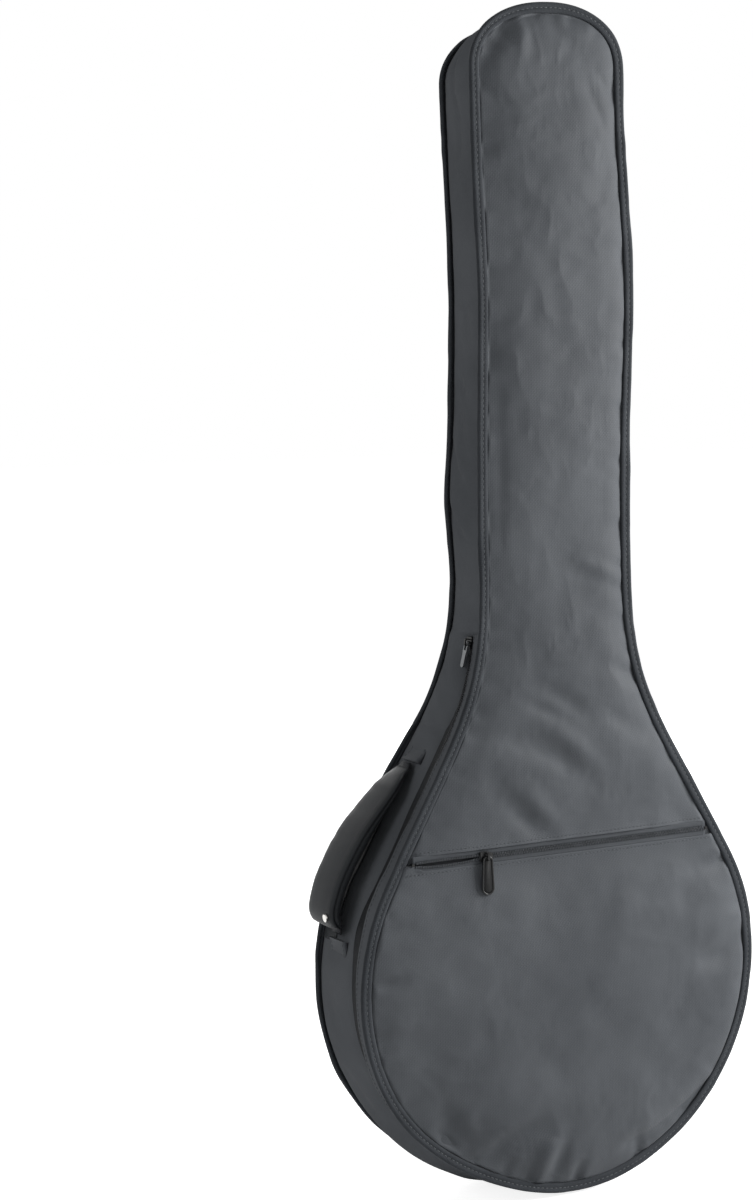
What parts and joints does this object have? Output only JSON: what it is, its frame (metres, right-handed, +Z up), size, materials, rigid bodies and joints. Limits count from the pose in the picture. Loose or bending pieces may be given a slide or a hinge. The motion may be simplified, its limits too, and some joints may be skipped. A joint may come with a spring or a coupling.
{
  "type": "banjo gig bag",
  "caption": "Padded soft case with a round drum, a long neck, a zipped front flap, a zipped pocket, a side handle and shoulder straps.",
  "frame": {"origin": "middle of the cross seam on the back of the neck, on the cloth's face, where the shoulder straps start and the bag hangs", "axes": "+Z up the neck, +X to the right as seen from the front, +Y out of the back panel, so the front faces -Y"},
  "size_m": [0.3964, 0.1129, 1.0186],
  "materials": {
    "nylon": "woven, satin",
    "foam": "matt",
    "lining": "woven, satin",
    "binding": "ribbed, matt",
    "webbing": "ribbed, matt",
    "zip_tape": "woven, matt",
    "black_metal": "gloss",
    "nickel": "bright",
    "plastic": "moulded"
  },
  "bodies": {
    "shell": {"front_neck_shell": "nylon", "front_neck_foam": "foam", "front_neck_lining": "lining", "back_upper_shell": "nylon", "back_lower_shell": "nylon", "back_foam": "foam", "back_lining": "lining", "gusset_neck_shell": "nylon", "gusset_neck_foam": "foam", "gusset_neck_lining": "lining", "gusset_drum_shell": "nylon", "gusset_drum_foam": "foam", "gusset_drum_lining": "lining", "front_binding_neck": "binding", "back_binding": "binding", "main_zip_rear_tape": "zip_tape", "main_zip_stop_left": "nickel", "main_zip_stop_right": "nickel", "strap_seam_band": "webbing", "shoulder_strap_left": "webbing", "shoulder_strap_right": "webbing", "strap_anchor_left": "webbing", "strap_anchor_right": "webbing", "handle_tab_upper": "webbing", "handle_tab_lower": "webbing"},
    "flap": {"flap_shell": "nylon", "flap_foam": "foam", "flap_lining": "lining", "flap_gusset_strip": "nylon", "flap_binding": "binding", "main_zip_front_tape": "zip_tape", "pocket_panel": "nylon", "pocket_zip_lower_tape": "zip_tape", "pocket_zip_upper_tape": "zip_tape", "pocket_zip_stop_left": "nickel", "pocket_zip_stop_right": "nickel"},
    "main_slider": {"main_zip_slider": "black_metal"},
    "main_puller": {"main_zip_puller": "nickel"},
    "pocket_slider": {"pocket_zip_slider": "black_metal"},
    "pocket_puller": {"pocket_zip_puller": "black_metal"},
    "handle": {"handle_webbing": "webbing", "handle_sleeve": "nylon", "handle_sleeve_lip": "nylon", "handle_rivet": "nickel"},
    "adjuster_left": {"strap_adjuster_left": "plastic"},
    "adjuster_right": {"strap_adjuster_right": "plastic"}
  },
  "joints": [
    {"name": "flap_fold", "type": "hinge", "parent": "shell", "child": "flap", "pos_m": [0, -0.0596, -0.09], "axis": [-1, 0, 0], "range_deg": [0, 110]},
    {"name": "main_slider_slide", "type": "slide", "parent": "shell", "child": "main_slider", "axis": [-0.1796, 0, -0.9837], "range_m": [0, 0.02]},
    {"name": "main_puller_swing", "type": "hinge", "parent": "main_slider", "child": "main_puller", "pos_m": [-0.07273, -0.032, -0.09825], "axis": [0.025, 0.9903, 0.1369], "range_deg": [0, 150]},
    {"name": "pocket_slider_slide", "type": "slide", "parent": "flap", "child": "pocket_slider", "axis": [1, 0, 0], "range_m": [-0.062, 0.213]},
    {"name": "pocket_puller_swing", "type": "hinge", "parent": "pocket_slider", "child": "pocket_puller", "pos_m": [-0.0754, -0.06455, -0.277], "axis": [-1, 0, 0], "range_deg": [0, 150]},
    {"name": "handle_swing", "type": "hinge", "parent": "shell", "child": "handle", "pos_m": [-0.11409, 0.004, -0.19992], "axis": [-0.453, 0, -0.8915], "range_deg": [-15, 15]},
    {"name": "adjuster_left_slide", "type": "slide", "parent": "shell", "child": "adjuster_left", "axis": [0.3074, 0, 0.9516], "range_m": [-0.012, 0.1]},
    {"name": "adjuster_right_slide", "type": "slide", "parent": "shell", "child": "adjuster_right", "axis": [-0.3074, 0, 0.9516], "range_m": [-0.012, 0.1]}
  ]
}
